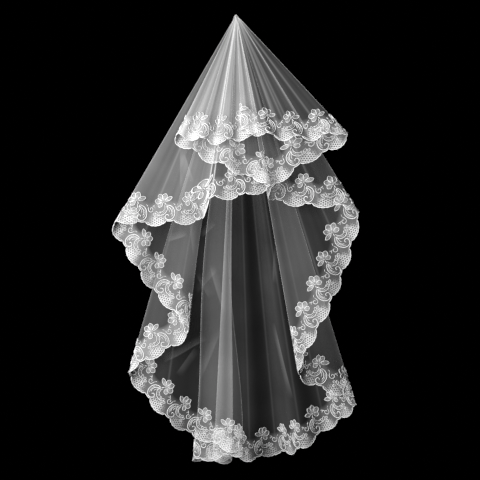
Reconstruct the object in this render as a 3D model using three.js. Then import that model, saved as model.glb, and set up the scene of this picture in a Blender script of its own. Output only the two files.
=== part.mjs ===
// Lace bridal veil: an oval of net with a corded lace border all round its edge,
// hung from one pinched point so that it falls in folds.
//
// Millimetres, +Z up. The origin is the pinched point. The short front of the
// veil faces -Y and its long back lies towards +Y.
//
// A sheet held at one point can only bend along straight lines through that
// point. So one closed curve of directions, drawn once round the point, gives
// the whole shape: place(turn, radius) = radius * direction(turn). The turn is
// the angle in the flat cloth and the radius is the length of cloth from the
// pinched point.

import * as THREE from "three";
import { ConvexGeometry } from "three/addons/geometries/ConvexGeometry.js";

// Driving dimensions
const WALL = 1.0; // net and lace are each modelled as a wall this thick
const LACE_GAP = 0.3; // between the net and the lace sewn on it
const LACE_DEPTH = 98; // from the tip of a flower to the rim of a scallop
const MOTIF_PITCH = 78; // one flower and one scallop along the edge
const SCALLOP_RISE = 12; // from the notch between two scallops to the rim
const SCALLOP_SHARE = 0.73; // of the motif; the rest is a small low lobe
const LOBE_RISE = 2.5;
const ARCH_FULLNESS = 0.6; // power of the sine that draws both arches
const LACE_START = 17; // the first notch lies this far along the edge from the first fold
const NET_MARGIN = 3; // the net is trimmed this far inside the rim of the lace
const FULL_WALL_RADIUS = 70; // nearer the pinch the walls thin out evenly
const BUNDLE_RADIUS = 20; // the gathered net is one solid bundle down to here
const BUNDLE_GAP = 0.3; // between that bundle and the panels below it
const SEAM_GAP = 0.3; // between two panels at a fold
const TIP_HALF_WIDTH = 5; // blunt top of the bundle, across
const TIP_HALF_DEPTH = 4; // front to back
const TIP_ROUNDING = 3; // and how far down its top is rounded
const TIP_SIDES = 12;

// The panels of net from fold to fold, once round from the middle of the back:
// behind, right side, front, left side and behind again.
// side: angle of the panel's first fold from straight down, + to the right, degrees
// from, to: how far the panel leans forward at its first and its last fold, degrees
// waves, swell: small waves across the panel, their count and half height, degrees
// hem, mid: cloth length at the first fold and at the middle of the panel, mm
const PANELS = [
  { panel: "back", side: -3.0, from: -14.4, to: -7.5, waves: 4, swell: 1.45, hem: 1232, mid: 1212 },
  { panel: "right_low_return", side: 17.1, from: -3.0, to: -1.5, waves: 0, swell: 0, hem: 1098, mid: 1030 },
  { panel: "right_side", side: 9.7, from: 2.5, to: 4.5, waves: 2, swell: 1.3, hem: 972, mid: 776 },
  { panel: "right_side_return", side: 31.5, from: 8.5, to: 10.0, waves: 2, swell: 1.3, hem: 624, mid: 554 },
  { panel: "right_under_front", side: 10.7, from: 14.5, to: 19.0, waves: 2, swell: 1.4, hem: 506, mid: 458 },
  { panel: "front_right", side: 42.0, from: 24.0, to: 29.8, waves: 6, swell: 0.9, hem: 471, mid: 410 },
  { panel: "front_pleat", side: 2.5, from: 26.6, to: 26.6, waves: 0, swell: 0, hem: 364, mid: 360 },
  { panel: "front_left", side: 11.5, from: 23.6, to: 26.0, waves: 6, swell: 0.9, hem: 360, mid: 386 },
  { panel: "left_under_front", side: -25.5, from: 20.8, to: 20.8, waves: 4, swell: 1.1, hem: 404, mid: 434 },
  { panel: "middle_under_front", side: 10.3, from: 17.5, to: 17.5, waves: 2, swell: 0.8, hem: 496, mid: 512 },
  { panel: "left_step", side: -7.7, from: 15.0, to: 13.5, waves: 0, swell: 0, hem: 524, mid: 540 },
  { panel: "left_side", side: -9.0, from: 11.0, to: 10.0, waves: 2, swell: 1.0, hem: 566, mid: 604 },
  { panel: "left_side_return", side: -29.9, from: 5.5, to: 3.5, waves: 2, swell: 1.1, hem: 654, mid: 746 },
  { panel: "left_low_return", side: -7.95, from: -0.5, to: -1.0, waves: 0, swell: 0, hem: 858, mid: 926 },
  { panel: "back_left", side: -16.7, from: -4.5, to: -4.5, waves: 2, swell: 1.0, hem: 1000, mid: 1120 },
  { panel: "back_pleat_front", side: 0.9, from: -7.3, to: -7.3, waves: 0, swell: 0, hem: 1184, mid: 1200 },
  { panel: "back_pleat_middle", side: -5.6, from: -9.6, to: -9.8, waves: 0, swell: 0, hem: 1215, mid: 1220 },
  { panel: "back_pleat_rear", side: -0.5, from: -11.9, to: -11.9, waves: 0, swell: 0, hem: 1226, mid: 1228 },
];
const SHOULDER = 1.3; // a fold turns within this many degrees of its edge
const SHOULDER_SHARE = 0.3; // or within this share of a narrow run

// The lace border in one motif, from the notch at 0 to the next notch at 1
// at: share of the motif; depth: share of LACE_DEPTH that the lace reaches in
const LACE_INNER = [
  { at: 0.0, depth: 0.87 },
  { at: 0.1, depth: 0.9 },
  { at: 0.25, depth: 0.82 },
  { at: 0.45, depth: 0.67 },
  { at: 0.7, depth: 0.66 },
  { at: 0.88, depth: 0.76 },
  { at: 1.0, depth: 0.87 },
];
// Gaps cut through the middle row of the lace: share of the motif where each lies
const LACE_GAPS = [0.3, 0.62];
const GAP_ROW = { inner: 0.55, outer: 0.3 }; // depth shares between which they lie
const LACE_TURN_STEP = 1.35; // degrees of turn between two columns of cells
const MOTIF_COLUMNS = { least: 5, most: 10 };
const FINE = 6000; // points that the smooth curves are read from

const COLOURS = { net: 0xe9ebee, lace: 0xf6f5f1 };

const degrees = THREE.MathUtils.degToRad;

// The curve of directions: its control points are (side, lean) pairs in degrees
function foldRoute() {
  const points = [];
  const marks = [];
  PANELS.forEach((row, k) => {
    const next = PANELS[(k + 1) % PANELS.length];
    const before = PANELS[(k + PANELS.length - 1) % PANELS.length];
    const span = next.side - row.side;
    const shoulder = Math.min(SHOULDER, Math.abs(span) * SHOULDER_SHARE) * Math.sign(span);
    const start = points.length;
    points.push(new THREE.Vector3(row.side, (before.to + row.from) / 2, 0));
    const steps = row.waves + 1;
    for (let j = 0; j <= steps; j += 1) {
      const share = j / steps;
      const wave = j > 0 && j < steps ? row.swell * (j % 2 ? 1 : -1) : 0;
      const side = row.side + shoulder + (span - 2 * shoulder) * share;
      points.push(new THREE.Vector3(side, row.from + (row.to - row.from) * share + wave, 0));
    }
    marks.push({ start, middle: start + 1 + steps / 2, hem: row.hem, between: row.mid });
  });
  return { curve: new THREE.CatmullRomCurve3(points, true, "centripetal"), count: points.length, marks };
}

function direction(side, lean) {
  const across = degrees(side);
  const forward = degrees(lean);
  return new THREE.Vector3(
    Math.cos(forward) * Math.sin(across),
    -Math.sin(forward),
    -Math.cos(forward) * Math.cos(across),
  );
}

// Reads y at x from two rising lists by straight lines between their points
function readTable(xs, ys, x) {
  let low = 0;
  let high = xs.length - 1;
  while (high - low > 1) {
    const mid = (low + high) >> 1;
    if (xs[mid] <= x) low = mid;
    else high = mid;
  }
  const share = (x - xs[low]) / (xs[high] - xs[low] || 1);
  return ys[low] + (ys[high] - ys[low]) * share;
}

// Turn along the route, scaled so that once round is the full turn of a flat cloth
const route = foldRoute();
const steps = [...Array(FINE + 1).keys()].map((i) => i / FINE);
const directions = steps.map((t) => {
  const p = route.curve.getPoint(t % 1);
  return direction(p.x, p.y);
});
const turns = [0];
for (let i = 1; i <= FINE; i += 1) {
  turns.push(turns[i - 1] + directions[i].distanceTo(directions[i - 1]));
}
const turnScale = (2 * Math.PI) / turns[FINE];
const flatTurns = turns.map((turn) => turn * turnScale);

function directionAt(turn) {
  const full = 2 * Math.PI;
  const p = route.curve.getPoint(readTable(flatTurns, steps, ((turn % full) + full) % full) % 1);
  return direction(p.x, p.y);
}

// The flat cut of the cloth: a smooth closed outline through the measured lengths
function flatOutline() {
  const points = [];
  route.marks.forEach((mark) => {
    [[mark.start, mark.hem], [mark.middle, mark.between]].forEach(([place, radius]) => {
      const turn = readTable(steps, flatTurns, place / route.count);
      points.push(new THREE.Vector3(radius * Math.cos(turn), radius * Math.sin(turn), 0));
    });
  });
  const outline = new THREE.CatmullRomCurve3(points, true, "centripetal").getPoints(FINE);
  const table = { turns: [], radii: [], lengths: [] };
  let length = 0;
  let turn = 0;
  outline.forEach((p, i) => {
    if (i > 0) {
      const q = outline[i - 1];
      length += p.distanceTo(q);
      turn += Math.atan2(q.x * p.y - q.y * p.x, q.x * p.x + q.y * p.y);
    }
    table.turns.push(turn);
    table.radii.push(Math.hypot(p.x, p.y));
    table.lengths.push(length);
  });
  return table;
}

const outline = flatOutline();
const edgeLength = outline.lengths[FINE];
const motifs = Math.round(edgeLength / MOTIF_PITCH);

// How far the rim lies inside the line of the scallops' tips
function notchDepth(share) {
  const arch = (part) => Math.sin(Math.PI * part) ** ARCH_FULLNESS;
  if (share < SCALLOP_SHARE) return SCALLOP_RISE * (1 - arch(share / SCALLOP_SHARE));
  return SCALLOP_RISE - LOBE_RISE * arch((share - SCALLOP_SHARE) / (1 - SCALLOP_SHARE));
}

// Columns of the solids: each motif is split evenly, finer where it spans more turn
function edgeColumns() {
  const columns = [];
  const pitch = edgeLength / motifs;
  const turnAt = (along) => readTable(outline.lengths, outline.turns, along % edgeLength);
  for (let m = 0; m < motifs; m += 1) {
    const start = turnAt(LACE_START + m * pitch);
    const end = turnAt(LACE_START + (m + 1) * pitch);
    const spanned = (end - start + 2 * Math.PI) % (2 * Math.PI);
    const wanted = Math.round(spanned / degrees(LACE_TURN_STEP));
    const count = THREE.MathUtils.clamp(wanted, MOTIF_COLUMNS.least, MOTIF_COLUMNS.most);
    for (let c = 0; c < count; c += 1) {
      const turn = turnAt(LACE_START + (m + c / count) * pitch);
      columns.push({ share: c / count, next: (c + 1) / count, turn });
    }
  }
  columns.forEach((column, i) => {
    const after = columns[(i + 1) % columns.length];
    const before = columns[(i + columns.length - 1) % columns.length];
    column.ray = directionAt(column.turn);
    column.hem = readTable(outline.turns, outline.radii, column.turn);
    const a = directionAt(before.turn);
    const b = directionAt(after.turn);
    const one = new THREE.Vector3().crossVectors(column.ray, a).normalize();
    const two = new THREE.Vector3().crossVectors(b, column.ray).normalize();
    // Out of the cloth, lengthened so that both neighbouring facets keep the full wall
    column.out = one.clone().add(two).normalize();
    column.out.divideScalar(Math.max(column.out.dot(one), 0.5));
  });
  // The border is as deep at right angles to the edge, however the edge slants
  columns.forEach((column, i) => {
    const after = columns[(i + 1) % columns.length];
    const before = columns[(i + columns.length - 1) % columns.length];
    const turned = (after.turn - before.turn + 2 * Math.PI) % (2 * Math.PI);
    column.slant = Math.hypot(1, (after.hem - before.hem) / (turned * column.hem));
    column.rim = column.hem - notchDepth(column.share) * column.slant;
  });
  return columns;
}

// A closed wall over columns, which close on themselves where ring is true.
// radii[i] lists the stations of column i outwards, offsets(radius) gives the two
// faces and keep(i, row) is false for a gap.
function wall(columns, radii, offsets, keep, ring) {
  const rows = radii[0].length - 1;
  const cells = ring ? columns.length : columns.length - 1;
  const positions = [];
  const index = [];
  columns.forEach((column, i) => {
    radii[i].forEach((radius) => {
      offsets(radius).forEach((offset) => {
        const p = column.ray.clone().multiplyScalar(radius).addScaledVector(column.out, offset);
        p.addScaledVector(column.aside ?? p, column.aside ? SEAM_GAP / 2 : 0);
        positions.push(p.x, p.y, p.z);
      });
    });
  });
  const vertex = (i, j, face) => ((i % columns.length) * (rows + 1) + j) * 2 + face;
  const quad = (a, b, c, d) => index.push(a, c, b, a, d, c);
  const solid = (i, j) => {
    const place = ring ? (i + cells) % cells : i;
    return j >= 0 && j < rows && place >= 0 && place < cells && keep(place, j);
  };
  for (let i = 0; i < cells; i += 1) {
    for (let j = 0; j < rows; j += 1) {
      if (!solid(i, j)) continue;
      const corner = (di, dj, face) => vertex(i + di, j + dj, face);
      quad(corner(0, 0, 1), corner(0, 1, 1), corner(1, 1, 1), corner(1, 0, 1));
      quad(corner(0, 0, 0), corner(1, 0, 0), corner(1, 1, 0), corner(0, 1, 0));
      if (!solid(i, j - 1)) quad(corner(0, 0, 0), corner(0, 0, 1), corner(1, 0, 1), corner(1, 0, 0));
      if (!solid(i, j + 1)) quad(corner(0, 1, 0), corner(1, 1, 0), corner(1, 1, 1), corner(0, 1, 1));
      if (!solid(i - 1, j)) quad(corner(0, 0, 0), corner(0, 1, 0), corner(0, 1, 1), corner(0, 0, 1));
      if (!solid(i + 1, j)) quad(corner(1, 0, 0), corner(1, 0, 1), corner(1, 1, 1), corner(1, 1, 0));
    }
  }
  const geometry = new THREE.BufferGeometry();
  geometry.setAttribute("position", new THREE.Float32BufferAttribute(positions, 3));
  geometry.setIndex(index);
  return geometry;
}

// The bundle of gathered net at the top: blunt, and as wide as the panels below it
function gatheredTop(columns) {
  const points = columns.map((column) => column.ray.clone().multiplyScalar(BUNDLE_RADIUS));
  for (let k = 0; k < TIP_SIDES; k += 1) {
    const angle = (2 * Math.PI * k) / TIP_SIDES;
    const across = TIP_HALF_WIDTH * Math.cos(angle);
    const deep = TIP_HALF_DEPTH * Math.sin(angle);
    points.push(new THREE.Vector3(across, deep, -TIP_ROUNDING));
    points.push(new THREE.Vector3(across / 2, deep / 2, 0));
  }
  return new ConvexGeometry(points);
}

// The panel of net from one fold to the next, short of both by half a seam gap
function netPanel(columns, first, last) {
  const count = (last - first + columns.length) % columns.length;
  const own = [...Array(count + 1).keys()].map((k) => ({ ...columns[(first + k) % columns.length] }));
  const towards = (from, to) => to.ray.clone().projectOnPlane(from.ray).normalize();
  own[0].aside = towards(own[0], own[1]);
  own[count].aside = towards(own[count], own[count - 1]);
  const radii = own.map((column) => [
    BUNDLE_RADIUS + BUNDLE_GAP,
    FULL_WALL_RADIUS,
    column.rim - NET_MARGIN * column.slant,
  ]);
  const offsets = (radius) => {
    const half = (WALL / 2) * Math.min(1, radius / FULL_WALL_RADIUS);
    return [-half, half];
  };
  return wall(own, radii, offsets, () => true, false);
}

function laceBorder(columns) {
  const reach = { at: LACE_INNER.map((row) => row.at), depth: LACE_INNER.map((row) => row.depth) };
  const radii = columns.map((column) => {
    const depths = [readTable(reach.at, reach.depth, column.share), GAP_ROW.inner, GAP_ROW.outer];
    return [...depths.map((depth) => column.hem - LACE_DEPTH * depth * column.slant), column.rim];
  });
  const inside = WALL / 2 + LACE_GAP;
  const cut = (column) => LACE_GAPS.some((at) => column.share <= at && at < column.next);
  const keep = (i, row) => row !== 1 || !cut(columns[i]);
  return wall(columns, radii, () => [inside, inside + WALL], keep, true);
}

function part(name, geometry, colour, roughness) {
  geometry.computeVertexNormals();
  const material = new THREE.MeshStandardMaterial({ color: colour, roughness, metalness: 0 });
  const mesh = new THREE.Mesh(geometry, material);
  mesh.name = name;
  return mesh;
}

// Each fold falls on the column nearest to it
function foldColumns(columns) {
  return route.marks.map((mark) => {
    const turn = readTable(steps, flatTurns, mark.start / route.count);
    const away = columns.map((column) => {
      const apart = Math.abs(column.turn - turn);
      return Math.min(apart, 2 * Math.PI - apart);
    });
    return away.indexOf(Math.min(...away));
  });
}

const columns = edgeColumns();
const folds = foldColumns(columns);
const veil = new THREE.Group();
veil.add(part("gathered_top", gatheredTop(columns), COLOURS.net, 0.8));
PANELS.forEach((row, k) => {
  const panel = netPanel(columns, folds[k], folds[(k + 1) % folds.length]);
  veil.add(part(`net_${row.panel}`, panel, COLOURS.net, 0.8));
});
veil.add(part("lace_border", laceBorder(columns), COLOURS.lace, 0.65));

export default veil;
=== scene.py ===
# %% [markdown]
# # A lace bridal veil, hung from one point
# The veil is one oval of fine net with a deep border of corded lace sewn all round it.
# Someone has pinched it at one point, so that it falls in folds: short in front, long behind.
# This script lays the net and every thread of the lace flat first, as the maker does,
# and then carries all of it into the hanging shape with one function.

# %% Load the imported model
import math
import bpy
import numpy as np
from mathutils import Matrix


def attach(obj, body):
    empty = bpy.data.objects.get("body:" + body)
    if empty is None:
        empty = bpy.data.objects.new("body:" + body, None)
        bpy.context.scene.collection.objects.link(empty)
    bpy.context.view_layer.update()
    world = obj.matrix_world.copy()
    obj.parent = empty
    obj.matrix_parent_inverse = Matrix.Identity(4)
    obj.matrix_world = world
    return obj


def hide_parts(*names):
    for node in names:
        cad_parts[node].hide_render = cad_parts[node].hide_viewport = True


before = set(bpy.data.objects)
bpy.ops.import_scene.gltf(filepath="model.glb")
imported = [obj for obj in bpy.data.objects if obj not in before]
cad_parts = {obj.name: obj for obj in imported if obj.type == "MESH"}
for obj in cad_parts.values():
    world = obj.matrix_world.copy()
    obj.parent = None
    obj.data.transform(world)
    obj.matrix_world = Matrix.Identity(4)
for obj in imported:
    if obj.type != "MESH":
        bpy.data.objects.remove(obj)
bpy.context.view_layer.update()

# %% [markdown]
# ## Camera
# The veil is seen level and from straight in front. A long lens far away keeps the near
# folds from growing larger than the far ones, as a product photographer does with a
# zoom lens at the end of the room.

# %% Camera
SCENE = bpy.context.scene
VIEW_WIDTH = 1.272
VIEW_CENTRE = (0.0098, -0.5976)
VIEW_DISTANCE = 9.0
SENSOR = 36.0

camera_data = bpy.data.cameras.new("camera")
camera_data.sensor_width = SENSOR
camera_data.lens = SENSOR * VIEW_DISTANCE / VIEW_WIDTH
camera_data.clip_end = 60.0
camera = bpy.data.objects.new("camera", camera_data)
camera.location = (VIEW_CENTRE[0], -VIEW_DISTANCE, VIEW_CENTRE[1])
camera.rotation_euler = (math.radians(90.0), 0.0, 0.0)
SCENE.collection.objects.link(camera)
SCENE.camera = camera
SCENE.view_settings.view_transform = "Standard"
print("lens in mm:", round(camera_data.lens, 1))

# %% [markdown]
# ## Studio
# White net shows best against the dark. The room is black, one large soft light stands
# in front on the left, and one more behind lights the long back.
# The dark floor is a disc below the hem. A ray through many layers of net has to be
# allowed to pass them all, so the number of see-through surfaces is raised. Light that
# bounces from net to net only adds specks here, so it is left out, and as the colour and
# slope passes of sheer cloth are noise too, the image is cleaned without them.

# %% Lights, room and floor
FLOOR_HEIGHT = -1.62
FLOOR_RADIUS = 2.2
FLOOR_CORNERS = 96
LAYERS_SEEN = 32


def soft_light(name, place, aim, size, watts):
    """A square area light of the given side that looks from place towards aim."""
    data = bpy.data.lights.new(name, "AREA")
    data.shape = "SQUARE"
    data.size = size
    data.energy = watts
    lamp = bpy.data.objects.new(name, data)
    away = np.array(aim) - np.array(place)
    level = math.hypot(away[0], away[1])
    lamp.rotation_euler = (
        math.pi / 2 + math.atan2(away[2], level),
        0.0,
        math.atan2(away[1], away[0]) - math.pi / 2,
    )
    lamp.location = place
    SCENE.collection.objects.link(lamp)


MIDDLE = (0.0, 0.0, -0.55)
soft_light("key", (-1.7, -2.4, -0.1), MIDDLE, 2.0, 215.0)
soft_light("behind", (0.5, 4.4, 0.9), MIDDLE, 2.6, 230.0)

room = bpy.data.worlds.new("dark_room")
room.use_nodes = True
room.node_tree.nodes["Background"].inputs["Color"].default_value = (0.0, 0.0, 0.0, 1.0)
SCENE.world = room
SCENE.cycles.transparent_max_bounces = LAYERS_SEEN
SCENE.cycles.denoising_input_passes = "RGB"
SCENE.cycles.diffuse_bounces = 0

around = np.linspace(0.0, 2 * np.pi, FLOOR_CORNERS + 1)[:-1]
ring = np.stack([FLOOR_RADIUS * np.cos(around), FLOOR_RADIUS * np.sin(around), 0 * around + FLOOR_HEIGHT], 1)
floor_mesh = bpy.data.meshes.new("floor")
floor_mesh.from_pydata(ring.tolist(), [], [list(range(len(ring)))])
floor = bpy.data.objects.new("floor", floor_mesh)
SCENE.collection.objects.link(floor)
print("floor lies", FLOOR_HEIGHT, "m below the pinched point")

# %% [markdown]
# ## How the cloth hangs
# Cloth that is held at one point can only bend along straight lines through that point.
# So a closed curve of directions, drawn once round the point, gives the whole shape.
# The table lists the curve's folds: the angle across, and how far the cloth leans forward
# on its way to the next fold. Ripples are small waves between two folds. The last two
# columns are lengths of cloth from the pinched point to the edge.

# %% Table of folds
MM = 0.001
# side, lean from, lean to, ripples, swell (degrees), edge at the fold, edge midway (mm)
FOLDS = [
    (-3.0, -14.4, -7.5, 4, 1.45, 1232, 1212),
    (17.1, -3.0, -1.5, 0, 0.0, 1098, 1030),
    (9.7, 2.5, 4.5, 2, 1.3, 972, 776),
    (31.5, 8.5, 10.0, 2, 1.3, 624, 554),
    (10.7, 14.5, 19.0, 2, 1.4, 506, 458),
    (42.0, 24.0, 29.8, 6, 0.9, 471, 410),
    (2.5, 26.6, 26.6, 0, 0.0, 364, 360),
    (11.5, 23.6, 26.0, 6, 0.9, 360, 386),
    (-25.5, 20.8, 20.8, 4, 1.1, 404, 434),
    (10.3, 17.5, 17.5, 2, 0.8, 496, 512),
    (-7.7, 15.0, 13.5, 0, 0.0, 524, 540),
    (-9.0, 11.0, 10.0, 2, 1.0, 566, 604),
    (-29.9, 5.5, 3.5, 2, 1.1, 654, 746),
    (-7.95, -0.5, -1.0, 0, 0.0, 858, 926),
    (-16.7, -4.5, -4.5, 2, 1.0, 1000, 1120),
    (0.9, -7.3, -7.3, 0, 0.0, 1184, 1200),
    (-5.6, -9.6, -9.8, 0, 0.0, 1215, 1220),
    (-0.5, -11.9, -11.9, 0, 0.0, 1226, 1228),
]
# a fold turns over within this many degrees, or within this share of a narrow panel
SHOULDER = 1.3
SHOULDER_SHARE = 0.3
# at how many places the route and the outline are read
FINE = 6000


def closed_curve(points, count):
    """Centripetal Catmull-Rom curve through points, closed, read at count + 1 even places.

    Between two points it is the cubic whose slopes at both ends follow the neighbours,
    each gap weighed by the root of its length.
    """
    total = len(points)
    at = np.linspace(0.0, total, count + 1) % total
    low = np.floor(at).astype(int)
    w = (at - low)[:, None]
    p0, p1, p2, p3 = (points[(low + k) % total] for k in (-1, 0, 1, 2))
    gaps = ((p0, p1), (p1, p2), (p2, p3))
    d0, d1, d2 = (np.linalg.norm(b - a, axis=1)[:, None] ** 0.5 for a, b in gaps)
    slope1 = ((p1 - p0) / d0 - (p2 - p0) / (d0 + d1) + (p2 - p1) / d1) * d1
    slope2 = ((p2 - p1) / d1 - (p3 - p1) / (d1 + d2) + (p3 - p2) / d2) * d1
    square = -3 * p1 + 3 * p2 - 2 * slope1 - slope2
    cube = 2 * p1 - 2 * p2 + slope1 + slope2
    return p1 + slope1 * w + square * w**2 + cube * w**3


def fold_route():
    """Control points (side, lean) of the route round the pinch, and where folds and middles lie.

    Each panel has one point on its fold, one at each shoulder and one for each ripple.
    """
    points, starts, middles = [], [], []
    for k, (side, lean_from, lean_to, ripples, swell, _, _) in enumerate(FOLDS):
        span = FOLDS[(k + 1) % len(FOLDS)][0] - side
        shoulder = math.copysign(min(SHOULDER, abs(span) * SHOULDER_SHARE), span)
        starts.append(len(points))
        points.append((side, (FOLDS[k - 1][2] + lean_from) / 2))
        steps = ripples + 1
        for j in range(steps + 1):
            share = j / steps
            wave = (swell if j % 2 else -swell) if 0 < j < steps else 0.0
            lean = lean_from + (lean_to - lean_from) * share + wave
            points.append((side + shoulder + (span - 2 * shoulder) * share, lean))
        middles.append(starts[-1] + 1 + steps / 2)
    return np.array(points), np.array(starts), np.array(middles)


def direction(side, lean):
    """Unit vector that hangs down, turned side degrees to the right and leaning lean forward."""
    across, forward = np.radians(side), np.radians(lean)
    x = np.cos(forward) * np.sin(across)
    z = -np.cos(forward) * np.cos(across)
    return np.stack([x, -np.sin(forward), z], -1)


ROUTE_POINTS, FOLD_STARTS, FOLD_MIDDLES = fold_route()
route = closed_curve(ROUTE_POINTS, FINE)
walked = np.linalg.norm(np.diff(direction(route[:, 0], route[:, 1]), axis=0), axis=1)
ROUTE_LENGTH = walked.sum()
ROUTE_TURNS = np.concatenate([[0.0], np.cumsum(walked)]) / ROUTE_LENGTH * 2 * np.pi


def turn_at(point):
    """Turn in the flat cloth of a control point of the route, or of a place between two."""
    return np.interp(point / len(ROUTE_POINTS) * FINE, np.arange(FINE + 1), ROUTE_TURNS)


FOLD_TURNS = turn_at(FOLD_STARTS)
MIDDLE_TURNS = turn_at(FOLD_MIDDLES)
PANEL_EDGES = np.append(FOLD_TURNS, 2 * np.pi)
print("route round the pinch in degrees:", round(math.degrees(ROUTE_LENGTH), 1))

# %% [markdown]
# ## The flat cut
# The flat cloth is an oval. Its outline is a smooth curve through the lengths in the
# table, each at the turn of its fold. Distances along that outline place the lace later.

# %% Outline of the flat cloth
# width of one lace repeat in mm, before a whole number of them is fitted round the edge
MOTIF = 78.0
outline_turns = np.stack([FOLD_TURNS, MIDDLE_TURNS], 1).ravel()
outline_radii = np.array([row[5:] for row in FOLDS]).ravel() * MM
corners = np.stack([outline_radii * np.cos(outline_turns), outline_radii * np.sin(outline_turns)], 1)
OUTLINE = closed_curve(corners, FINE)
edge_steps = np.linalg.norm(np.diff(OUTLINE, axis=0), axis=1)
EDGE_ALONG = np.concatenate([[0.0], np.cumsum(edge_steps)])
EDGE_LENGTH = EDGE_ALONG[-1]
tangent = np.roll(OUTLINE[:-1], -1, axis=0) - np.roll(OUTLINE[:-1], 1, axis=0)
tangent /= np.linalg.norm(tangent, axis=1)[:, None]
tangent = np.vstack([tangent, tangent[:1]])
EDGE_INWARD = np.stack([-tangent[:, 1], tangent[:, 0]], 1)
MOTIFS = round(EDGE_LENGTH / (MOTIF * MM))
PITCH = EDGE_LENGTH / MOTIFS
FLAT_SIZE = tuple(np.ptp(OUTLINE, axis=0))
print("edge in metres:", round(EDGE_LENGTH, 3), "lace repeats:", MOTIFS)


def lay_flat(along, inset):
    """Flat place (x, y) of a point at the length along the edge and inset in from it."""
    along = np.asarray(along) % EDGE_LENGTH
    base = [np.interp(along, EDGE_ALONG, OUTLINE[:, k]) for k in (0, 1)]
    inward = [np.interp(along, EDGE_ALONG, EDGE_INWARD[:, k]) for k in (0, 1)]
    return np.stack([base[k] + inward[k] * inset for k in (0, 1)], -1)


# %% [markdown]
# ## From flat to hanging
# One function carries any flat point into the hanging veil. Its turn in the flat cloth
# gives its direction and its distance from the pinch stays the same, so the net keeps its
# size. Close to the pinch the cloth is crushed into fine pleats, and some folds behind
# wander a little to the side on their way down.

# %% Drape
# count of pleats round the veil, height in degrees, phase
PLEATS = [(131, 0.08, 0.3), (89, 0.13, 1.9), (53, 0.18, 4.1)]
PLEAT_FADE = (0.10, 0.62)
# number of the fold: how far it stands aside near the pinch, in degrees
WANDER = {4: -1.1, 9: 1.1, 13: -1.45, 14: -0.6, 15: -3.2, 16: -2.5, 17: -0.8}
WANDER_END = (0.5, 1.1)
FOLD_WANDER = np.array([WANDER.get(k % len(FOLDS), 0.0) for k in range(len(FOLDS) + 1)])
# the tip is a small bunch of cloth: its radius, its flatness and where it starts and ends
NUB_RADIUS = 0.0038
NUB_FLATNESS = 0.8
NUB_DEPTH = (0.005, 0.028)
# distance over which the slope of the cloth is read, and the least radius for that
SLOPE_STEP = 0.0015
SLOPE_RADIUS = 0.02


def ease(low, high, value):
    """Smooth step: 0 below low, 1 above high, three t squared less two t cubed between."""
    t = np.clip((value - low) / (high - low), 0.0, 1.0)
    return t * t * (3 - 2 * t)


def hang(turn, radius):
    """Hanging place: the radius times the direction of that turn, with pleats near the pinch."""
    turn = turn % (2 * np.pi)
    side = np.interp(turn, ROUTE_TURNS, route[:, 0])
    lean = np.interp(turn, ROUTE_TURNS, route[:, 1])
    aside = np.interp(turn, PANEL_EDGES, FOLD_WANDER)
    side = side + aside * (1 - ease(*WANDER_END, radius))
    fade = 1 - ease(*PLEAT_FADE, radius)
    for count, height, phase in PLEATS:
        lean = lean + height * fade * np.sin(count * turn + phase)
    place = direction(side, lean) * radius[..., None]
    nub = NUB_RADIUS * np.sqrt(np.clip(radius / NUB_DEPTH[0], 0, 1)) * (1 - ease(*NUB_DEPTH, radius))
    place[..., 0] += nub * np.cos(turn)
    place[..., 1] += nub * np.sin(turn) * NUB_FLATNESS
    return place


def drape(flat, lift):
    """Carries flat points (..., 2) into the hanging veil, lift metres out of the cloth's face."""
    turn = np.arctan2(flat[..., 1], flat[..., 0])
    radius = np.hypot(flat[..., 0], flat[..., 1])
    place = hang(turn, radius)
    step = SLOPE_STEP / np.maximum(radius, SLOPE_RADIUS)
    across = hang(turn + step, radius) - hang(turn - step, radius)
    down = hang(turn, radius + SLOPE_STEP) - hang(turn, np.maximum(radius - SLOPE_STEP, 0))
    out = np.cross(across, down)
    out /= np.maximum(np.linalg.norm(out, axis=-1), 1e-12)[..., None]
    return place + out * np.asarray(lift)[..., None]


# %% [markdown]
# ## Mesh helpers
# Every surface here is a grid of points that closes on itself round its columns: the net
# and the lace ground go once round the veil, and a cord once round its thread. Faces run
# so that they look outwards, and the flat place goes into a UV map, so that the weave
# follows the cloth through every fold.

# %% Grid to mesh
def grid_faces(rows, columns):
    """Corner numbers of the quads of a grid whose last column joins its first."""
    first = np.arange(rows - 1)[:, None] * columns
    second = first + columns
    j = np.arange(columns)[None, :]
    k = (j + 1) % columns
    return np.stack([first + j, second + j, second + k, first + k], -1)


def make_piece(name, places, faces, uv, attributes=()):
    """Mesh object from points and quads; uv is given for each corner, attributes for each point."""
    mesh = bpy.data.meshes.new(name)
    points = places.reshape(-1, 3)
    corners = faces.reshape(-1, faces.shape[-1])
    mesh.from_pydata(points.tolist(), [], corners.tolist())
    mesh.shade_smooth()
    layer = mesh.uv_layers.new(name="flat")
    layer.data.foreach_set("uv", uv.reshape(-1).astype(np.float32))
    for label, values in attributes:
        field = mesh.attributes.new(label, "FLOAT", "POINT")
        field.data.foreach_set("value", values.reshape(-1).astype(np.float32))
    piece = bpy.data.objects.new(name, mesh)
    SCENE.collection.objects.link(piece)
    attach(piece, "root")
    print(name, "points", len(points), "faces", len(corners))
    return piece


# %% [markdown]
# ## The net
# The real net is a single layer that is almost see-through. It is built as one open
# surface with its columns running from the pinch to the edge, with a few more of them
# beside each fold, and its last rows follow the scallops of the lace.

# %% Net
EVEN_COLUMNS = 1400
FOLD_BESIDE = (-4.0, -1.8, 0.0, 1.8, 4.0)
LEAST_COLUMN = 0.3 * MM
NET_INNER_ROWS = 46
NET_BORDER_ROWS = 5
# rows lie closer towards the pinch by this power, and the first has this share of the radius
ROW_POWER = 1.5
TIP_SHARE = 0.0002
BORDER_START = 30 * MM
# the net ends this many mm inside the rim
NET_SHORT = 1.5
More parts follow.
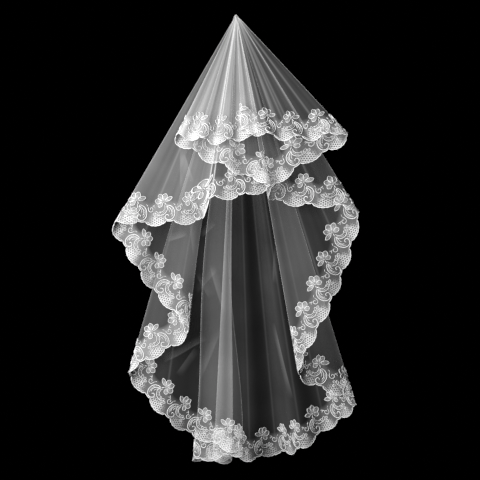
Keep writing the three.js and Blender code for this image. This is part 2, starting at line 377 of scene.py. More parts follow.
# the lace's rim in mm: a wide scallop with small picots, and a narrow lobe
SCALLOP = {"wide": 57.0, "deep": 11.5, "picots": 5, "picot_height": 1.2}
LOBE = {"wide": 21.0, "deep": 2.5}
ARCH_POWER = 0.6
NOTCH_INSET = 12.0
LACE_START = 17.0 * MM


def rim_height(s):
    """Height of the rim over the notch line: in each repeat one long arch, one small one.

    Both are a sine raised to a power under one, so that they are full at their ends,
    and the long one has a few small waves on it.
    """
    s = np.asarray(s) % MOTIF
    share = np.clip(s / SCALLOP["wide"], 0, 1)
    picots = SCALLOP["picot_height"] * np.abs(np.sin(np.pi * SCALLOP["picots"] * share))
    wide = SCALLOP["deep"] * np.sin(np.pi * share) ** ARCH_POWER + picots
    lobe_share = np.clip((s - SCALLOP["wide"]) / LOBE["wide"], 0, 1)
    small = LOBE["deep"] * np.sin(np.pi * lobe_share) ** ARCH_POWER
    return np.where(s < SCALLOP["wide"], wide, small)


def motif_flat(repeat, s, v):
    """Flat place of the point s along and v in from the notch line, in mm, of a repeat."""
    along_edge = LACE_START + (repeat + np.asarray(s) / MOTIF) * PITCH
    return lay_flat(along_edge, (np.asarray(v) + NOTCH_INSET) * MM)


outline_turn = np.unwrap(np.arctan2(OUTLINE[:, 1], OUTLINE[:, 0]))
outline_turn -= outline_turn[0]
fold_along = np.interp(FOLD_TURNS, outline_turn, EDGE_ALONG)
beside = (fold_along[:, None] + np.array(FOLD_BESIDE) * MM).ravel() % EDGE_LENGTH
even = np.arange(EVEN_COLUMNS) / EVEN_COLUMNS * EDGE_LENGTH
along = np.sort(np.concatenate([even, beside]))
along = along[np.concatenate([[True], np.diff(along) > LEAST_COLUMN])]
NET_COLUMNS = len(along)
inner_edge = lay_flat(along, BORDER_START)
inner_share = (np.arange(NET_INNER_ROWS) / (NET_INNER_ROWS - 1)) ** ROW_POWER
inner_share[0] = TIP_SHARE
inner = inner_edge[None] * inner_share[:, None, None]
border_share = np.arange(1, NET_BORDER_ROWS + 1) / NET_BORDER_ROWS
rim_inset = (NOTCH_INSET - rim_height((along - LACE_START) / PITCH * MOTIF) + NET_SHORT) * MM
border_inset = BORDER_START + (rim_inset[None] - BORDER_START) * border_share[:, None]
border = lay_flat(np.broadcast_to(along, border_inset.shape), border_inset)
net_flat = np.concatenate([inner, border])
net_faces = grid_faces(len(net_flat), NET_COLUMNS)
print("rows and columns of the net:", net_flat.shape[:2])

# %% [markdown]
# ## Close and loose places in the net, and painted light
# The net isn't equally dense all over. Where it is drawn together in pleats too fine to
# build, more threads lie behind each other and it looks whiter. Light and shade are
# painted into the same cover: the panels on the left are made brighter, as light from the
# left makes them, soft rays of painted light and shade run down from the pinch where its
# pleats are shaded, and each fold carries a thin painted highlight line. These values are
# worked out for each point of the net and kept with the mesh, so that the finish can read them.

# %% Where the net is crowded, and its painted light and shade
# how much each panel covers, in the order of the folds: partly how closely the net is drawn together, partly
# painted light that makes the left panels brighter
PANEL_COVER_AND_LIGHT = [
    0.7, 0.2, 1.1, 0.5, 0.7, 0.6, 1.2, 4.6, 3.2,
    0.7, 1.3, 3.0, 1.6, 1.1, 0.8, 0.3, 2.3, 3.7,
]
# half of the turn over which one panel's cover goes over into the next
PANEL_RAMP = 0.012
# near the pinch the layers would add up to solid white, so each covers less there
GATHER_COVER = -0.8
GATHER_LENGTH = 0.14
# the bunched tip covers more, down to this distance
CROWD_LENGTH = 0.03
# painted light and painted shade in soft rays from the pinch, as its fine pleats are shaded: count round the
# veil, height as a share of the cover, phase
PAINTED_STREAKS = [(61, 0.1, 0.4), (97, 0.1, 2.2), (149, 0.08, 4.0), (211, 0.06, 1.1)]
PAINTED_STREAK_LENGTH = 0.35
PAINTED_STREAK_LEFT = 0.35
# painted shade (below 0) and painted highlights (above 0) of pleats running through all front layers: side
# angle, half width in degrees, share added
PAINTED_RAYS = [
    (16.4, 1.1, -0.6),
    (20.2, 0.8, 0.6),
    (10.5, 0.8, 0.3),
    (3.5, 0.9, 0.3),
    (-3.2, 0.8, -0.3),
    (-9.0, 0.8, 0.35),
    (-17.6, 0.9, -0.4),
    (-20.5, 0.8, 0.4),
    (27.0, 1.4, -0.3),
]
PAINTED_RAY_END = (0.30, 0.44)
# one layer with fewer pleats: panel, side angle, half width, radius from and to, share added
THIN_SPOTS = [(8, 6.2, 4.2, 0.33, 0.45, -0.7)]
SPOT_EDGE = 0.02
# how strong the painted highlight lines on a panel's ripples are, next to 1 on its fold
RIPPLE_HIGHLIGHT = {0: 0.08, 5: 0.25, 7: 0.32}
OTHER_RIPPLE_HIGHLIGHT = 0.14
FOLD_HIGHLIGHT_HALF_WIDTH = 2.2 * MM


def side_of(turn):
    """Side angle in degrees at which the cloth of that turn hangs."""
    return np.interp(turn % (2 * np.pi), ROUTE_TURNS, route[:, 0])


def on_panel(turn, panel, centre, half_width):
    """1 near the side angle centre on the numbered panel, falling to 0 past half_width degrees."""
    inside = (turn % (2 * np.pi) > PANEL_EDGES[panel]) & (turn % (2 * np.pi) < PANEL_EDGES[panel + 1])
    return inside * np.exp(-(((side_of(turn) - centre) / half_width) ** 4))


net_turn = np.arctan2(net_flat[..., 1], net_flat[..., 0])
net_radius = np.hypot(net_flat[..., 0], net_flat[..., 1])
crowd = np.exp(-net_radius / CROWD_LENGTH)
level_ends = np.stack([PANEL_EDGES[:-1] + PANEL_RAMP, PANEL_EDGES[1:] - PANEL_RAMP], 1).ravel()
# cover of each panel, with painted light that brightens the left panels
panel_cover_and_light = np.interp(net_turn % (2 * np.pi), level_ends, np.repeat(PANEL_COVER_AND_LIGHT, 2))
# painted light and shade in soft rays from the pinch, weaker far from it
painted_streak = sum(height * np.sin(count * net_turn + phase) for count, height, phase in PAINTED_STREAKS)
painted_streak = painted_streak * (PAINTED_STREAK_LEFT + (1 - PAINTED_STREAK_LEFT) * np.exp(-net_radius / PAINTED_STREAK_LENGTH))
net_side = side_of(net_turn)
# painted shade and highlight lines of the front pleats, fading out lower down
painted_rays = sum(height * np.exp(-(((net_side - side) / half) ** 2)) for side, half, height in PAINTED_RAYS)
painted_rays = painted_rays * (1 - ease(*PAINTED_RAY_END, net_radius))
near_pinch = 1 + GATHER_COVER * np.exp(-net_radius / GATHER_LENGTH)
cover_with_painted_light = panel_cover_and_light * near_pinch * (1 + painted_streak) * (1 + painted_rays)
for panel, centre, half_width, near, far, share in THIN_SPOTS:
    spot = on_panel(net_turn, panel, centre, half_width)
    spot *= ease(near - SPOT_EDGE, near + SPOT_EDGE, net_radius)
    spot *= 1 - ease(far - SPOT_EDGE, far + SPOT_EDGE, net_radius)
    cover_with_painted_light = cover_with_painted_light * (1 + share * spot)
point_turns = turn_at(np.arange(len(ROUTE_POINTS)))
panel_ends = np.append(FOLD_STARTS[1:], len(ROUTE_POINTS))
# a thin painted highlight line along each fold and weaker ones along its ripples, where a fold seen edge on
# looks bright
painted_fold_highlight = np.zeros(net_radius.shape)
for k, (start, end) in enumerate(zip(FOLD_STARTS, panel_ends)):
    # the fold itself and its panel's ripples, without the two shoulders
    for point in (start, *range(start + 2, end - 1)):
        weight = 1.0 if point == start else RIPPLE_HIGHLIGHT.get(k, OTHER_RIPPLE_HIGHLIGHT)
        away = net_radius * np.abs(np.sin((net_turn - point_turns[point]) / 2)) * 2
        painted_fold_highlight = np.maximum(painted_fold_highlight, weight * np.exp(-((away / FOLD_HIGHLIGHT_HALF_WIDTH) ** 2)))
print("cover between", round(float(cover_with_painted_light.min()), 2), "and", round(float(cover_with_painted_light.max()), 2),
      "mean crease", round(float(painted_fold_highlight.mean()), 4))


def corner_uv(flat_uv, faces, seam=None):
    """UV of each face's corners; seam adds one full width where a face crosses the seam."""
    values = flat_uv.reshape(-1, 2)[faces.reshape(-1, faces.shape[-1])]
    if seam is not None:
        wraps = (values[..., 0].max(1) - values[..., 0].min(1)) > seam / 2
        low = values[..., 0] < seam / 2
        values[..., 0] += np.where(wraps[:, None] & low, seam, 0.0)
    return values


FLAT_CORNER = OUTLINE.min(axis=0)
UV_SPAN = max(FLAT_SIZE)
net_uv = corner_uv((net_flat - FLAT_CORNER) / UV_SPAN, net_faces)
net_piece = make_piece(
    "net", drape(net_flat, np.zeros(net_flat.shape[:2])), net_faces, net_uv,
    [("crowd", crowd), ("cover_with_painted_light", cover_with_painted_light), ("painted_fold_highlight", painted_fold_highlight)],
)
net_nodes = [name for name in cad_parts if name.startswith("net_")]
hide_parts("gathered_top", *net_nodes)

# %% [markdown]
# ## Threads
# On the real lace a cord is stitched down along each outline, and petals and leaves are
# filled with a sheer layer of stitches. Both are built as a ring of points carried along
# a path on the net: even round cords, and wide low pads. The same path is laid in all
# repeats at once, so that the machine's rhythm shows as it does on the real edging.

# %% Cords and pads laid on the net
REPEATS = np.arange(MOTIFS)
# steps of a smooth path between two of its points, and mm of thread to one unit of UV
PATH_STEPS = 12
THREAD_UV = 100.0
# a cord's width next to the width in the tables, its height over the net, its tip's share
YARN_SHARE = 0.84
CORD_LIFT = 1.7
CORD_SIDES = 5
CORD_TIP = 0.02
# a pad's height over the net, half thickness and grid; its width is a sine to this power
PAD_LIFT = 1.0
PAD_HEIGHT = 0.4
PAD_STEPS = 8
PAD_SIDES = 6
PAD_POWER = 0.65
PAD_TIP = 0.004


def smooth_path(points, spacing):
    """Open Catmull-Rom path through points, read at even distances of about spacing mm."""
    points = np.asarray(points, float)
    ends = np.vstack([2 * points[0] - points[1], points, 2 * points[-1] - points[-2]])
    w = np.linspace(0, 1, PATH_STEPS + 1)[:-1][:, None]
    parts = []
    for k in range(len(points) - 1):
        a, b, c, d = ends[k : k + 4]
        slope1, slope2 = (c - a) / 2, (d - b) / 2
        square = 3 * (c - b) - 2 * slope1 - slope2
        cube = 2 * (b - c) + slope1 + slope2
        parts.append(b + slope1 * w + square * w**2 + cube * w**3)
    fine = np.vstack([*parts, points[-1:]])
    length = np.concatenate([[0], np.cumsum(np.linalg.norm(np.diff(fine, axis=0), axis=1))])
    count = max(int(round(length[-1] / spacing)), 3) + 1
    even = np.linspace(0, length[-1], count)
    return np.stack([np.interp(even, length, fine[:, k]) for k in (0, 1)], 1)


def laid_strip(path, half_width, half_height, lift, sides):
    """A ring of points along a path in every repeat, and its quads.

    Round the ring the point goes half_width sideways in the cloth and half_height out of
    it: side times cosine, height times sine. lift is the middle's height over the net.
    """
    forward = np.gradient(path, axis=0)
    forward /= np.maximum(np.linalg.norm(forward, axis=1), 1e-9)[:, None]
    sideways = np.stack([-forward[:, 1], forward[:, 0]], 1)
    angle = np.arange(sides) / sides * 2 * np.pi
    flat = path[:, None] + sideways[:, None] * (half_width[:, None] * np.cos(angle))[..., None]
    height = lift + half_height[:, None] * np.sin(angle)
    all_flat = motif_flat(REPEATS[:, None, None], flat[None, ..., 0], flat[None, ..., 1])
    lifted = np.broadcast_to(height * MM, all_flat.shape[:-1])
    places = drape(all_flat, lifted)
    walked = np.concatenate([[0], np.cumsum(np.linalg.norm(np.diff(path, axis=0), axis=1))])
    uv = np.stack(np.broadcast_arrays(walked[:, None] / THREAD_UV, (angle / (2 * np.pi))[None]), -1)
    faces = grid_faces(len(path), sides).reshape(-1, 4)
    return places.reshape(MOTIFS, -1, 3), uv.reshape(-1, 2), faces


def gather(strips, name):
    """Joins strips, each with its points in all repeats, into one piece."""
    places, uvs, faces = [], [], []
    start = 0
    for strip_places, strip_uv, strip_faces in strips:
        size = strip_places.shape[1]
        offsets = start + REPEATS[:, None, None] * size
        places.append(strip_places.reshape(-1, 3))
        faces.append((strip_faces[None] + offsets).reshape(-1, 4))
        corner = corner_uv(strip_uv, strip_faces)
        uvs.append(np.broadcast_to(corner, (MOTIFS, *corner.shape)).reshape(-1, 4, 2))
        start += MOTIFS * size
    return make_piece(name, np.concatenate(places), np.concatenate(faces), np.concatenate(uvs))


def cord(points, width, spacing=3.2, height=1.0):
    """An outline cord: even all along, drawn in to a point at both ends so that it is closed."""
    path = smooth_path(points, spacing)
    taper = np.ones(len(path))
    taper[0] = taper[-1] = CORD_TIP
    return laid_strip(path, width / 2 * YARN_SHARE * taper, height * taper, CORD_LIFT, CORD_SIDES)


def pad(points, width):
    """A filled leaf: its half width is a sine raised to a power, so it is full and has two tips."""
    path = smooth_path(points, 1.0)
    length = np.linspace(0, len(path) - 1, PAD_STEPS)
    path = np.stack([np.interp(length, np.arange(len(path)), path[:, k]) for k in (0, 1)], 1)
    t = np.linspace(PAD_TIP, 1 - PAD_TIP, PAD_STEPS)
    shape = np.sin(np.pi * t) ** PAD_POWER
    return laid_strip(path, width / 2 * shape, PAD_HEIGHT * shape, PAD_LIFT, PAD_SIDES)


print("lace repeats laid at once:", len(REPEATS))

# %% [markdown]
# ## One repeat of the lace
# The repeat is a wide scallop filled with a coarse mesh, a curled drop that hangs from a
# five-petalled flower, a stem with leaves over the mesh, and a small snail between two
# flowers. This is a common pattern of wedding edgings. All numbers are millimetres: along
# the edge, and in from the notch between two scallops. The rim comes first. A real edging
# is cut along it, so it has the thickest cord, with a thin one following inside the scallop.

# %% Scallop rim
RIM_CORD = 2.5
INNER_CORD = 1.1
# how far inside the rim the thin cord runs, and how far from the notches it ends
INNER_INSET = 3.6
INNER_END = 3.0
rim_s = np.linspace(0, SCALLOP["wide"], 31)
rim = np.stack([rim_s, -rim_height(rim_s)], 1)
rim[-1] = (SCALLOP["wide"], 0.0)
lobe_s = np.linspace(SCALLOP["wide"], MOTIF, 9)
lobe = np.stack([lobe_s, -rim_height(lobe_s)], 1)
lobe[0] = (SCALLOP["wide"], 0.0)
lobe[-1] = (MOTIF, 0.0)
inner_s = np.linspace(INNER_END, SCALLOP["wide"] - INNER_END, 12)
inner_arch = SCALLOP["deep"] * np.sin(np.pi * inner_s / SCALLOP["wide"]) ** ARCH_POWER
inner_line = np.stack([inner_s, INNER_INSET - inner_arch], 1)
rim_piece = gather([
    cord(rim, RIM_CORD, 2.4),
    cord(lobe, RIM_CORD, 2.8),
    cord(inner_line, INNER_CORD, 4.0, height=0.6),
], "lace_rim_cord")

# %% [markdown]
# ## Drop, stem and snail
# These are the curls between the flower and the rim. Each is one cord that the machine
# lays in a single stroke, so each is one smooth path through a few points read off the
# photo's clearest repeat, with its own width.

# %% Drop, stem and snail
def spiral(centre, start_radius, end_radius, turned):
    """Eight points of a spiral: the radius falls evenly while the angle turns, in degrees."""
    t = np.linspace(0, 1, 8)
    radius = start_radius + (end_radius - start_radius) * t
    angle = np.radians(turned * t)
    return np.stack([centre[0] + radius * np.cos(angle), centre[1] + radius * np.sin(angle)], 1)


DROP = [(-1, 42.5), (-11, 40), (-19, 34), (-23, 24), (-22, 12), (-16, 3.5), (-8, 1), (0, 4.5),
        (2.8, 11), (-1, 16), (-7, 14.5), (-6.5, 10)]
scroll_cords = [
    # stalk, drop and the three lines inside it
    cord([(6, 50), (2, 46), (-1, 42.5)], 2.4),
    cord(DROP, 2.2),
    cord([(1, 40), (-7, 36.5), (-13, 30), (-15.5, 21), (-12, 13.5)], 1.8),
    cord([(0, 38), (-5, 33), (-9, 26), (-9.5, 20)], 1.4),
    cord([(-16, 34), (-19, 25), (-18, 14), (-13, 7)], 1.0, 4.0, height=0.6),
    # stem over the mesh, its bud and three leaves
    cord([(-1, 42), (-3.5, 33), (-1, 25), (7, 17.5), (19, 16.2), (28, 18)], 1.9),
    cord(spiral((19, 22), 3.2, 3.0, 375), 1.5),
    cord([(28, 18), (32, 23), (37, 22), (35, 17), (28, 18)], 1.5),
    cord([(24, 15), (28, 10), (34, 9), (32, 14), (25, 15.5)], 1.5),
    cord([(22, 18), (24, 25), (30, 27), (28, 21), (23, 18)], 1.5),
    # band beside the stem
    cord([(5, 45), (3.5, 37), (6, 29), (13, 24.5), (20, 26)], 1.6),
    cord([(1.5, 40), (0.8, 32), (5, 24), (13, 20)], 0.9, 4.0, height=0.6),
    # snail and its three tendrils
    cord([(52, 39), (50, 29), (43, 25.5), (37.5, 31), (41, 37), (46.5, 34.5), (44, 31)], 1.8),
    cord([(41, 37), (37, 42), (32, 46)], 1.7),
    cord([(39, 40), (34, 40), (31, 37)], 1.4),
    cord([(52, 39), (55, 43), (59, 45)], 1.4),
]
scroll_piece = gather(scroll_cords, "lace_scroll_cords")

# %% [markdown]
# ## Flower
# The flower has five open petals round a small ring. Each petal is a corded outline with
# a fine vein and a sheer filling. One outline function serves all five, which differ in
# their direction, length and width.

# %% Flower
FLOWER = (8.0, 53.0)
# angle from the edge's direction, length, width (degrees, mm)
PETALS = [
    (158, 27.0, 10.0),
    (105, 22.5, 14.0),
    (55, 24.0, 14.5),
    (6, 24.5, 14.5),
    (-44, 20.0, 12.0),
]
# where a petal starts from the flower's middle, and where its vein and filling run
PETAL_START = 2.6
VEIN_START = 4.0
VEIN_END = 0.66
FILL_START = 3.5
FILL_WIDTH = 0.9


def from_flower(angle, out, aside):
    """Points at a distance out along a petal's line and aside from it."""
    c, s = math.cos(math.radians(angle)), math.sin(math.radians(angle))
    return np.stack([FLOWER[0] + out * c - aside * s, FLOWER[1] + out * s + aside * c], 1)


def petal_outline(angle, length, width):
    """Round a petal: straight out and back, aside by a powered sine, so that both ends are pointed.

    The sine's own argument is raised to a power too, which puts the widest place further out.
    """
    t = np.linspace(0.03, 1.97, 17)
    reach = 1 - np.abs(1 - t)
    aside = np.sign(1 - t) * width / 2 * np.sin(np.pi * reach ** 1.25) ** 0.75
    return from_flower(angle, PETAL_START + (length - PETAL_START) * reach, aside)


flower_cords = [cord(spiral(FLOWER, 2.8, 2.2, 380), 1.5)]
petal_fills = []
for angle, length, width in PETALS:
    flower_cords.append(cord(petal_outline(angle, length, width), 1.8))
    vein = np.linspace(VEIN_START, length * VEIN_END, 4)
    flower_cords.append(cord(from_flower(angle, vein, 0 * vein), 0.9, 4.0, height=0.6))
    middle = np.linspace(FILL_START, length - 1.0, 3)
    petal_fills.append(pad(from_flower(angle, middle, 0 * middle), width * FILL_WIDTH))
# the drop and two leaves of the stem are filled in the same way
petal_fills.append(pad([(-2, 39), (-14, 31), (-17, 20), (-14, 8)], 5.0))
petal_fills.append(pad([(24, 13), (29, 11), (34, 10)], 4.0))
petal_fills.append(pad([(28, 19), (32, 20), (37, 21)], 4.0))
flower_piece = gather(flower_cords, "lace_flower_cords")
petal_piece = gather(petal_fills, "lace_petals")

# %% [markdown]
# ## Ground of the lace
# Between the cords the border is a closer mesh than the net, and the scallops are
# filled with a coarse honeycomb. It is one thin strip of its own, laid just over the net.
# Drawing each of its many small holes as geometry would take millions of faces, so the
# finish opens them. Where the real lace lies folded on itself, the strip covers more.

# %% Lace ground
GROUND_COLUMNS = 26
GROUND_ROWS = 22
GROUND_LIFT = 0.7
MESH_MIDDLE = (23.0, 0.0)
MESH_REACH = (19.0, 13.0)
# how far in the ground reaches between flowers, how much further over one, and how widely
REACH_LOW = 52
REACH_MORE = 24
REACH_WIDTH = 17
# the ground ends this far inside the rim, and fades out over this width at its inner end
GROUND_SHORT = 0.5
FADE_WIDTH = 14
# depth of the strip in mm that one unit of UV stands for
STRIP_DEPTH = 110
# panel, side angle, half width in degrees, cover added: lace that lies folded together
LACE_FOLDED = [(7, -21.5, 5.0, 0.34), (6, 7.0, 5.0, 0.2), (12, -21.0, 5.0, 0.1), (13, -13.0, 5.0, 0.1)]


def lace_reach(s):
    """How far in the ground reaches, in mm: a bell over each flower, lower between them."""
    away = s % MOTIF - FLOWER[0]
    bells = np.exp(-((away / REACH_WIDTH) ** 2)) + np.exp(-(((away - MOTIF) / REACH_WIDTH) ** 2))
    return REACH_LOW + REACH_MORE * bells


ground_s = np.arange(MOTIFS * GROUND_COLUMNS) / GROUND_COLUMNS * MOTIF
ground_share = np.linspace(0, 1, GROUND_ROWS)[:, None]
inner_v = lace_reach(ground_s)[None]
outer_v = -rim_height(ground_s)[None] + GROUND_SHORT
ground_v = inner_v + (outer_v - inner_v) * ground_share
ground_flat = motif_flat(0, np.broadcast_to(ground_s, ground_v.shape), ground_v)
local_s = np.broadcast_to(ground_s % MOTIF, ground_v.shape)
mesh_fill = np.exp(-(((local_s - MESH_MIDDLE[0]) / MESH_REACH[0]) ** 4)
                   - ((ground_v - MESH_MIDDLE[1]) / MESH_REACH[1]) ** 4)
edge_fade = np.clip((inner_v - ground_v) / FADE_WIDTH, 0, 1)
ground_turn = np.arctan2(ground_flat[..., 1], ground_flat[..., 0])
folded = sum(share * on_panel(ground_turn, panel, centre, half) for panel, centre, half, share in LACE_FOLDED)
ground_faces = grid_faces(GROUND_ROWS, len(ground_s))
strip_along = np.broadcast_to(ground_s / MOTIF / MOTIFS, ground_v.shape)
strip_uv = np.stack([strip_along, (ground_v + NOTCH_INSET) / STRIP_DEPTH], -1)
ground_piece = make_piece(
    "lace_ground",
    drape(ground_flat, np.full(ground_v.shape, GROUND_LIFT * MM)),
    ground_faces,
    corner_uv(strip_uv, ground_faces, seam=1.0),
    [("mesh_fill", mesh_fill), ("edge_fade", edge_fade), ("folded", folded)],
)
lace_pieces = [ground_piece, rim_piece, scroll_piece, flower_piece, petal_piece]
for piece in lace_pieces:
    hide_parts("lace_border")

# %% [markdown]
# ## Writing shader maths
# A material's pattern is a sum over many small nodes. A small class wraps a socket, so
# that the sum can be written as plain arithmetic. Each operator adds one Math node, and
# a second class holds a material and adds all its other nodes through one method.

# %% Shader expressions
class Value:
    """One output socket; operators on it add Math nodes to its tree."""

    def __init__(self, tree, socket):
        self.tree = tree
        self.socket = socket

    def combine(self, operation, *others, swap=False):
        node = self.tree.nodes.new("ShaderNodeMath")
        node.operation = operation
        operands = [self, *others]
        if swap:
            operands.reverse()
        for k, operand in enumerate(operands):
            if isinstance(operand, Value):
                self.tree.links.new(operand.socket, node.inputs[k])
            else:
                node.inputs[k].default_value = operand
        return Value(self.tree, node.outputs[0])

    def __add__(self, other):
        return self.combine("ADD", other)

    def __radd__(self, other):
        return self.combine("ADD", other)

    def __sub__(self, other):
        return self.combine("SUBTRACT", other)

    def __rsub__(self, other):
        return self.combine("SUBTRACT", other, swap=True)

    def __mul__(self, other):
        return self.combine("MULTIPLY", other)

    def __rmul__(self, other):
        return self.combine("MULTIPLY", other)

    def __truediv__(self, other):
        return self.combine("DIVIDE", other)

    def __rtruediv__(self, other):
        return self.combine("DIVIDE", other, swap=True)

    def __pow__(self, other):
        return self.combine("POWER", other)

    def __rpow__(self, other):
        return self.combine("POWER", other, swap=True)

    def cosine(self):
        return self.combine("COSINE")

    def clamped(self, low, high):
        return self.combine("MAXIMUM", low).combine("MINIMUM", high)


class Finish:
    """A material with one Principled shader, and one method that adds any other node."""

    def __init__(self, name, **constants):
        self.material = bpy.data.materials.new(name)
        self.material.use_nodes = True
        self.tree = self.material.node_tree
        self.shader = self.tree.nodes["Principled BSDF"]
        for label, value in constants.items():
            self.shader.inputs[label.replace("_", " ")].default_value = value

    def node(self, kind, settings=None, output=0, **values):
        """Adds a node: its settings are set first, then the values or links of its sockets."""
        node = self.tree.nodes.new(kind)
        for key, value in (settings or {}).items():
            setattr(node, key, value)
        for key, value in values.items():
            self.set_input(node.inputs[key.replace("_", " ")], value)
        return Value(self.tree, node.outputs[output])

    def set_input(self, socket, value):
        if isinstance(value, Value):
            self.tree.links.new(value.socket, socket)
        else:
            socket.default_value = value

    def flat_place(self):
        """X and Y of the piece's UV map."""
        uv = self.node("ShaderNodeUVMap", {"uv_map": "flat"})
        return (self.node("ShaderNodeSeparateXYZ", output=0, Vector=uv),
                self.node("ShaderNodeSeparateXYZ", output=1, Vector=uv))

    def attribute(self, name):
        """A number that was kept with each point of the mesh."""
        return self.node("ShaderNodeAttribute", {"attribute_name": name}, output=2)

    def feed(self, label, value):
        """Connects a value to a socket of the Principled shader."""
        self.set_input(self.shader.inputs[label], value)

    def honeycomb(self, along, across, pitch):
        """Three cosine waves at 60 degrees to each other: 1 in the middle of each hole, 0 on threads.

        Their sum runs from -1.5 to 3, so it is brought to 0 to 1 by adding 1.5 and dividing by 4.5.
        """
        k = 2 * math.pi / pitch
        turned_along = k * math.cos(math.radians(60))
        turned_across = k * math.sin(math.radians(60))
        one = (along * k).cosine()
        two = (along * turned_along + across * turned_across).cosine()
        three = (along * turned_along - across * turned_across).cosine()
        return ((one + two + three) * (1 / 4.5) + (1.5 / 4.5)).clamped(0.0, 1.0)


# %% [markdown]
# ## Net finish
# Fine net lets nearly all light through. Each layer covers a few hundredths of what is
# behind it, more where it is seen edge on, as glass does, and that draws every fold as a
# bright line. The holes of the mesh are two millimetres across. How closely each panel is
# drawn together, the painted light of the panels, the rays of painted light and shade and
# the painted highlight lines on the folds come from the numbers kept with the mesh. The
# short creases that the cloth keeps from being folded in storage are lines in the flat cloth.

# %% Net material
NET_COVER = 0.026
FOLD_HIGHLIGHT_COVER = 0.26
STORAGE_COVER = 0.055
TIP_COVER = 0.12
MESH_PITCH = 2.2 * MM
# a layer's cover in a hole and what a thread adds, then its least share and what noise adds
HOLE_SHARE, THREAD_SHARE = 0.84, 0.5
LEAST_SHARE, NOISE_SHARE = 0.65, 0.7
# seen edge on, a layer covers no more than at this cosine
LEAST_COSINE = 0.06
# a storage crease fades over the first width on one side and over the second on the other
STORAGE_WIDTH = 20.0 * MM
STORAGE_EDGE = 2.5 * MM
# panel, (side angle, radius in metres) of both ends, strength
STORAGE_CREASES = [
    (14, (-11.2, 0.945), (-4.4, 0.87), 1.0),
    (14, (-6.4, 0.895), (-9.2, 0.97), 0.8),
    (14, (-11.0, 0.91), (-7.6, 0.82), 0.7),
    (14, (-4.4, 0.67), (-1.2, 0.80), 0.8),
    (14, (-7.2, 0.70), (-4.2, 0.76), 0.6),
    (14, (-5.4, 0.98), (-2.0, 0.84), 0.6),
    (12, (-16.2, 0.63), (-12.0, 0.60), 0.9),
    (12, (-12.2, 0.56), (-9.6, 0.66), 0.6),
    (11, (-20.0, 0.40), (-14.0, 0.47), 0.9),
    (11, (-17.0, 0.50), (-22.5, 0.38), 0.7),
    (14, (-6.8, 0.60), (-3.4, 0.56), 0.7),
    (14, (-6.6, 0.75), (-2.4, 0.68), 0.5),
    (0, (8.6, 1.05), (6.8, 0.84), 0.7),
    (0, (9.6, 0.62), (7.9, 0.73), 0.5),
]


def storage_crease(x, y, panel, first, second, strength):
    """A short straight crease in the flat cloth: 1 on the line, 0 past its ends.

    It falls to 0 softly on one side and sharply on the other. The distance to the line is
    one dot product with its normal, and the place along it another. first and second are
    (side angle, radius) on the numbered panel.
    """
    here, there = FOLDS[panel][0], FOLDS[panel + 1][0]
    start, end = FOLD_TURNS[panel], FOLD_TURNS[panel + 1]
    ends = []
    for side, radius in (first, second):
        at = start + (end - start) * (side - here) / (there - here)
        ends.append((radius * math.cos(at), radius * math.sin(at)))
    (x1, y1), (x2, y2) = ends
    length = math.hypot(x2 - x1, y2 - y1)
    ux, uy = (x2 - x1) / length, (y2 - y1) / length
    beside = x * -uy + y * ux - (y1 * ux - x1 * uy)
    onward = (x * ux + y * uy - (x1 * ux + y1 * uy)) * (1 / length)
    window = (onward * (1 - onward) * 5.0).clamped(0.0, 1.0)
    soft_side = 1 - beside * (1 / STORAGE_WIDTH)
    sharp_side = 1 + beside * (1 / STORAGE_EDGE)
    return soft_side.combine("MINIMUM", sharp_side).clamped(0.0, 1.0) * window * strength


net = Finish("fine_net", Base_Color=(0.9, 0.9, 0.9, 1.0), Roughness=0.75, Specular_IOR_Level=0.25)
flat_uv = net.node("ShaderNodeUVMap", {"uv_map": "flat"})
uv_x, uv_y = net.flat_place()
flat_x = uv_x * UV_SPAN + FLAT_CORNER[0]
flat_y = uv_y * UV_SPAN + FLAT_CORNER[1]
threads = (1 - net.honeycomb(flat_x, flat_y, MESH_PITCH)) ** 2.0
uneven = net.node("ShaderNodeTexNoise", Vector=flat_uv, Scale=14.0, Detail=2.0)
weave = (threads * THREAD_SHARE + HOLE_SHARE) * (uneven * NOISE_SHARE + LEAST_SHARE) * NET_COVER
creases = 0.0
for row in STORAGE_CREASES:
    creases = storage_crease(flat_x, flat_y, *row) + creases
# the cover carries painted light: brighter left panels, rays of painted light and shade, and painted
# highlight lines on every fold
cover = weave * net.attribute("cover_with_painted_light") + net.attribute("painted_fold_highlight") * FOLD_HIGHLIGHT_COVER + creases * STORAGE_COVER
edge_on = net.node("ShaderNodeLayerWeight", output=1, Blend=0.5)
cosine = (1 - edge_on).clamped(LEAST_COSINE, 1.0)
through = (1 - cover) ** (1 / cosine)
alpha = 1 - through * (1 - net.attribute("crowd") * TIP_COVER)
net.feed("Alpha", alpha.clamped(0.0, 1.0))
net_piece.data.materials.append(net.material)
print("net finish has", len(net.tree.nodes), "nodes")

# %% [markdown]
# ## Lace finish
# The cords are soft white thread with the fine ribs of twisted yarn. Petals and leaves are
# filled with a sheer row of stitches. The ground is the same thread, but mostly holes, so
# its pattern goes into how much it covers and not into its colour.

# %% Lace materials
YARN_RIB = 0.9
RIB_HEIGHT = 0.3 * MM
PETAL_COVER = 0.09
STITCH_PITCH = 1.3
GROUND_PITCH = 5.6 * MM
FINE_PITCH = 1.9 * MM
# how wide the coarse mesh's bars are, how sharp, and how much they cover
COARSE_BAR, COARSE_SHARPNESS, COARSE_COVER = 0.38, 4.0, 0.5
# cover of the fine mesh's threads, and of what lies between them
FINE_COVER, FLOAT_COVER = 0.08, 0.04

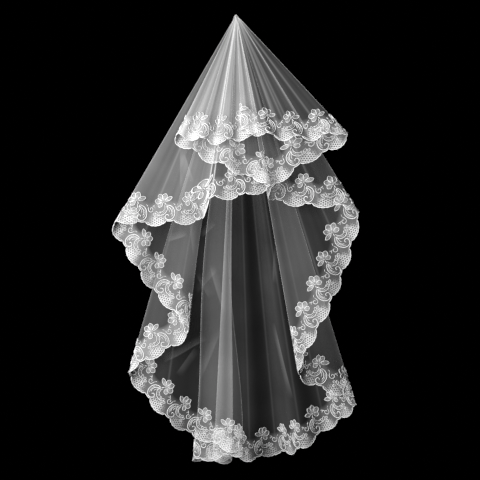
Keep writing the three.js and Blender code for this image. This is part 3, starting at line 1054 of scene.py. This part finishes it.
thread = Finish("lace_thread", Base_Color=(0.83, 0.83, 0.83, 1.0), Roughness=0.6, Sheen_Weight=0.15)
coil_x, coil_y = thread.flat_place()
rib = (coil_x * (2 * math.pi * THREAD_UV / YARN_RIB) + coil_y * (2 * math.pi)).cosine()
bump = thread.node("ShaderNodeBump", Strength=0.5, Distance=RIB_HEIGHT, Height=rib * 0.5 + 0.5)
thread.feed("Normal", bump)
place = thread.node("ShaderNodeTexCoord", output=3)
cloud = thread.node("ShaderNodeTexNoise", Vector=place, Scale=180.0, Detail=2.0)
thread.feed("Roughness", cloud * 0.2 + 0.5)
for piece in (rim_piece, scroll_piece, flower_piece):
    piece.data.materials.append(thread.material)

satin = Finish("petal_net", Base_Color=(0.93, 0.93, 0.93, 1.0), Roughness=0.6)
leaf_x, _ = satin.flat_place()
stitch = (leaf_x * (2 * math.pi * THREAD_UV / STITCH_PITCH)).cosine() * 0.5 + 0.5
satin.feed("Alpha", (stitch * 0.6 + 0.7) * PETAL_COVER)
petal_piece.data.materials.append(satin.material)

ground = Finish("lace_ground", Base_Color=(0.92, 0.92, 0.92, 1.0), Roughness=0.7)
uv_x, uv_y = ground.flat_place()
strip_x = uv_x * (MOTIF * MOTIFS * MM)
strip_y = uv_y * (STRIP_DEPTH * MM)
holes = ground.honeycomb(strip_x, strip_y, GROUND_PITCH)
coarse = ((COARSE_BAR - holes) * COARSE_SHARPNESS).clamped(0.0, 1.0)
fine = (1 - ground.honeycomb(strip_x, strip_y, FINE_PITCH)) ** 2.0
close_mesh = (fine * FINE_COVER + FLOAT_COVER + ground.attribute("folded")) * ground.attribute("edge_fade")
bars = coarse * ground.attribute("mesh_fill") * COARSE_COVER
ground.feed("Alpha", (close_mesh + bars).clamped(0.0, 1.0))
ground_piece.data.materials.append(ground.material)
print("lace finishes have", [len(f.tree.nodes) for f in (thread, satin, ground)], "nodes")

# %% [markdown]
# ## Floor finish
# The floor is matt dark paint, so that the white lace reads well against it from above
# and it throws little light back up. Its gloss varies a little, as rolled paint does.

# %% Floor material
paint = Finish("dark_floor", Base_Color=(0.06, 0.06, 0.062, 1.0), Roughness=0.85)
spots = paint.node("ShaderNodeTexNoise", Vector=paint.node("ShaderNodeTexCoord", output=3), Scale=3.0)
paint.feed("Roughness", spots * 0.1 + 0.8)
floor.data.materials.append(paint.material)
print("materials made:", len(bpy.data.materials))
